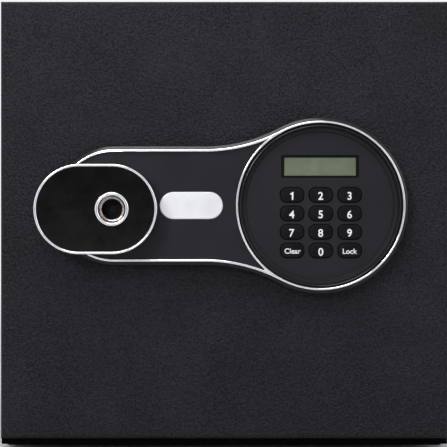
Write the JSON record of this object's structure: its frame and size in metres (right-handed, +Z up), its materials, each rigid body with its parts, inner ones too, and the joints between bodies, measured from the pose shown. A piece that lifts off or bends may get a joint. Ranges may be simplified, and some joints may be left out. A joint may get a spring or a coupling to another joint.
{
  "type": "in room safe",
  "caption": "Small steel hotel-room safe with an overlay door, an electronic keypad in a round chrome-ringed housing, a lever knob with a key port, and sliding locking bolts.",
  "frame": {"origin": "middle of the body's underside, on the surface that it stands on", "axes": "+Z up, -Y out of the door's front face, +X to the viewer's right"},
  "size_m": [0.28, 0.3285, 0.281],
  "materials": {
    "door_paint": "fine textured powder coat",
    "body_paint": "fine textured powder coat",
    "housing_plastic": "smooth satin moulding",
    "bezel_plastic": "satin moulding",
    "face_plastic": "smooth satin moulding",
    "key_rubber": "satin moulding, white print",
    "chrome_trim": "bright chrome plating",
    "insert_gloss": "gloss black moulding",
    "socket_plastic": "black moulding",
    "plate_silver": "pearl silver lacquer",
    "lcd_glass": "grey-green display film",
    "lcd_metal": "tinned frame",
    "board_green": "solder mask",
    "mat_rubber": "silicone",
    "zinc_steel": "bright zinc plating",
    "bolt_steel": "ground and nickel plated",
    "bush_brass": "turned",
    "contact_metal": "nickel plating",
    "contact_dark": "black nickel",
    "coil_tape": "amber tape over copper",
    "nylon_white": "nylon moulding",
    "cover_plastic": "fine-grained moulding",
    "button_red": "red moulding",
    "cell_wrap": "shrink sleeve",
    "ribbon_grey": "flat ribbon insulation",
    "carpet": "needle felt carpet"
  },
  "bodies": {
    "safe_body": {"body_shell": "body_paint", "back_panel": "body_paint", "front_frame": "body_paint", "floor_mat": "carpet", "hinge_tongues": "body_paint"},
    "door": {"door_panel": "door_paint", "door_back_plate": "door_paint", "hinge_pins": "zinc_steel", "hinge_washers": "nylon_white", "lock_housing": "housing_plastic", "outline_trim": "chrome_trim", "keypad_ring": "chrome_trim", "keypad_bezel": "bezel_plastic", "keypad_face": "face_plastic", "keypad_board": "board_green", "keypad_mat": "mat_rubber", "display_module": "lcd_metal", "display_lens": "lcd_glass", "name_plate": "plate_silver", "housing_screws": "zinc_steel", "keypad_cable": "ribbon_grey", "spindle_bush": "bush_brass", "bolt_guides": "nylon_white", "solenoid_frame": "zinc_steel", "solenoid_coil": "coil_tape", "solenoid_spring": "bolt_steel", "mechanism_cover": "cover_plastic", "cover_screws": "zinc_steel", "control_board": "board_green", "battery_tray": "cover_plastic", "battery_cells": "cell_wrap", "battery_contacts": "contact_metal"},
    "knob": {"knob_body": "chrome_trim", "knob_insert": "insert_gloss", "port_ring": "chrome_trim", "port_socket": "socket_plastic", "port_contact": "contact_dark", "spindle": "zinc_steel", "spindle_clip": "zinc_steel", "cam_plate": "zinc_steel", "crank_pin": "bolt_steel"},
    "carriage": {"bolt_carriage": "zinc_steel", "lock_tooth": "zinc_steel", "locking_bolts": "bolt_steel"},
    "plunger": {"solenoid_plunger": "bolt_steel"},
    "reset": {"reset_button": "button_red"},
    "lid": {"battery_lid": "cover_plastic"},
    "body_key_1": {"key_1": "key_rubber"},
    "body_key_2": {"key_2": "key_rubber"},
    "body_key_3": {"key_3": "key_rubber"},
    "body_key_4": {"key_4": "key_rubber"},
    "body_key_5": {"key_5": "key_rubber"},
    "body_key_6": {"key_6": "key_rubber"},
    "body_key_7": {"key_7": "key_rubber"},
    "body_key_8": {"key_8": "key_rubber"},
    "body_key_9": {"key_9": "key_rubber"},
    "body_key_clear": {"key_clear": "key_rubber"},
    "body_key_0": {"key_0": "key_rubber"},
    "body_key_lock": {"key_lock": "key_rubber"}
  },
  "joints": [
    {"name": "door_hinge", "type": "hinge", "parent": "safe_body", "child": "door", "pos_m": [0.131, -0.1505, 0], "axis": [0, 0, 1], "range_deg": [0, 95]},
    {"name": "knob_turn", "type": "hinge", "parent": "door", "child": "knob", "pos_m": [-0.0682, -0.1615, 0.1508], "axis": [0, -1, 0], "range_deg": [0, 90]},
    {"name": "bolt_slide", "type": "slide", "parent": "door", "child": "carriage", "axis": [1, 0, 0], "range_m": [-0.016, 0]},
    {"name": "plunger_drop", "type": "slide", "parent": "door", "child": "plunger", "axis": [0, 0, -1], "range_m": [0, 0.0055], "deforming": ["solenoid_spring"]},
    {"name": "reset_press", "type": "slide", "parent": "door", "child": "reset", "axis": [0, -1, 0], "range_m": [0, 0.0015], "stiffness_N_per_m": 500, "springref_m": -0.0005},
    {"name": "battery_lid_hinge", "type": "hinge", "parent": "door", "child": "lid", "pos_m": [0.018, -0.1113, 0.07275], "axis": [-1, 0, 0], "range_deg": [0, 100]},
    {"name": "key_1_press", "type": "slide", "parent": "door", "child": "body_key_1", "axis": [0, 1, 0], "range_m": [0, 0.0008], "stiffness_N_per_m": 800, "springref_m": -0.0004},
    {"name": "key_2_press", "type": "slide", "parent": "door", "child": "body_key_2", "axis": [0, 1, 0], "range_m": [0, 0.0008], "stiffness_N_per_m": 800, "springref_m": -0.0004},
    {"name": "key_3_press", "type": "slide", "parent": "door", "child": "body_key_3", "axis": [0, 1, 0], "range_m": [0, 0.0008], "stiffness_N_per_m": 800, "springref_m": -0.0004},
    {"name": "key_4_press", "type": "slide", "parent": "door", "child": "body_key_4", "axis": [0, 1, 0], "range_m": [0, 0.0008], "stiffness_N_per_m": 800, "springref_m": -0.0004},
    {"name": "key_5_press", "type": "slide", "parent": "door", "child": "body_key_5", "axis": [0, 1, 0], "range_m": [0, 0.0008], "stiffness_N_per_m": 800, "springref_m": -0.0004},
    {"name": "key_6_press", "type": "slide", "parent": "door", "child": "body_key_6", "axis": [0, 1, 0], "range_m": [0, 0.0008], "stiffness_N_per_m": 800, "springref_m": -0.0004},
    {"name": "key_7_press", "type": "slide", "parent": "door", "child": "body_key_7", "axis": [0, 1, 0], "range_m": [0, 0.0008], "stiffness_N_per_m": 800, "springref_m": -0.0004},
    {"name": "key_8_press", "type": "slide", "parent": "door", "child": "body_key_8", "axis": [0, 1, 0], "range_m": [0, 0.0008], "stiffness_N_per_m": 800, "springref_m": -0.0004},
    {"name": "key_9_press", "type": "slide", "parent": "door", "child": "body_key_9", "axis": [0, 1, 0], "range_m": [0, 0.0008], "stiffness_N_per_m": 800, "springref_m": -0.0004},
    {"name": "key_clear_press", "type": "slide", "parent": "door", "child": "body_key_clear", "axis": [0, 1, 0], "range_m": [0, 0.0008], "stiffness_N_per_m": 800, "springref_m": -0.0004},
    {"name": "key_0_press", "type": "slide", "parent": "door", "child": "body_key_0", "axis": [0, 1, 0], "range_m": [0, 0.0008], "stiffness_N_per_m": 800, "springref_m": -0.0004},
    {"name": "key_lock_press", "type": "slide", "parent": "door", "child": "body_key_lock", "axis": [0, 1, 0], "range_m": [0, 0.0008], "stiffness_N_per_m": 800, "springref_m": -0.0004}
  ],
  "couplings": [
    {"joint": "bolt_slide", "follows": "knob_turn", "m_per_rad": -0.010185}
  ]
}
